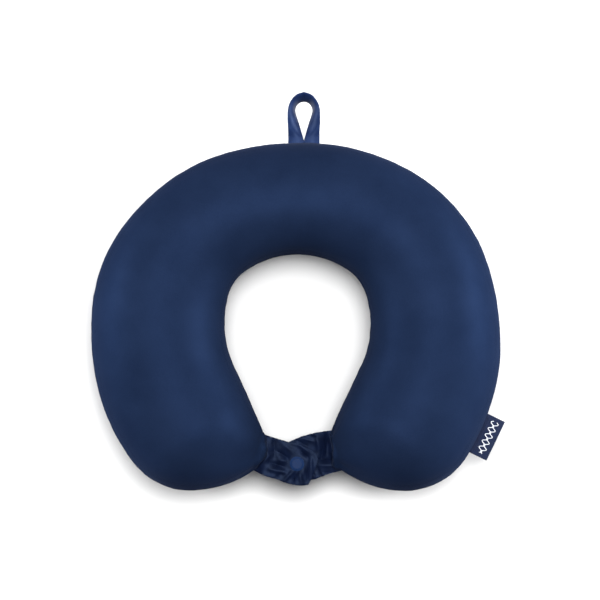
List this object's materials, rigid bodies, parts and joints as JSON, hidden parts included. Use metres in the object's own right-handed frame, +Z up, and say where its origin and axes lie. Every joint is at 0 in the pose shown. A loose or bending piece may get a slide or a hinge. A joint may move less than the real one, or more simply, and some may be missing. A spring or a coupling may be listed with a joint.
{
  "type": "travel neck pillow",
  "caption": "U-shaped foam neck pillow with a zip-off knit cover, hanging loop, side label and two snap tabs that close it in front.",
  "frame": {"origin": "middle of the pillow's footprint on the surface it lies on, within 2 mm of its bounding box's middle, on its plane of symmetry", "axes": "+Z up from the surface it lies on, +Y towards the nape and the hanging loop, +X towards the lobe with the label; the snap tabs face -Y"},
  "size_m": [0.3041, 0.2932, 0.102],
  "materials": {
    "knit": "navy stretch knit with a fine grain and soft sheen",
    "satin": "navy satin, creased, with a soft gloss",
    "thread": "navy sewing thread",
    "label": "navy woven damask tape",
    "foam": "cream memory foam",
    "snap": "navy moulded snap",
    "tape": "navy woven zip tape",
    "coil": "navy nylon",
    "slider": "navy painted metal"
  },
  "bodies": {
    "pillow": {"foam_core": "foam", "cover_top_panel": "knit", "cover_bottom_panel": "knit", "loop_bartack": "thread", "woven_label": "label", "zip_tape_upper": "tape", "zip_tape_lower": "tape", "zip_coil_upper": "coil", "zip_coil_lower": "coil", "zip_top_stops": "coil", "zip_bottom_stop": "coil"},
    "tab_left": {"snap_tab_left": "satin", "snap_cap_upper": "snap", "snap_socket": "snap"},
    "tab_right": {"snap_tab_right": "satin", "snap_cap_lower": "snap", "snap_stud": "snap"},
    "loop": {"hang_loop": "satin"},
    "slider": {"zip_slider": "slider"},
    "pull": {"zip_pull": "slider"}
  },
  "joints": [
    {"name": "left_tab_fold", "type": "hinge", "parent": "pillow", "child": "tab_left", "pos_m": [-0.02714, -0.11779, 0.0533], "axis": [-0.2419, -0.9703, 0], "range_deg": [0, 85]},
    {"name": "right_tab_fold", "type": "hinge", "parent": "pillow", "child": "tab_right", "pos_m": [0.02714, -0.11779, 0.048], "axis": [-0.2419, 0.9703, 0], "range_deg": [-75, 0]},
    {"name": "loop_flop", "type": "hinge", "parent": "pillow", "child": "loop", "pos_m": [0.005, 0.1127, 0.05], "axis": [1, 0, 0], "range_deg": [-60, 60]},
    {"name": "zip_travel", "type": "hinge", "parent": "pillow", "child": "slider", "pos_m": [0, -0.0555, 0.0114], "axis": [0, 0, 1], "range_deg": [0, 51]},
    {"name": "pull_swing", "type": "hinge", "parent": "slider", "child": "pull", "pos_m": [0.06716, 0.08531, 0.01011], "axis": [0.2778, 0.5824, 0.764], "range_deg": [-70, 70]}
  ]
}
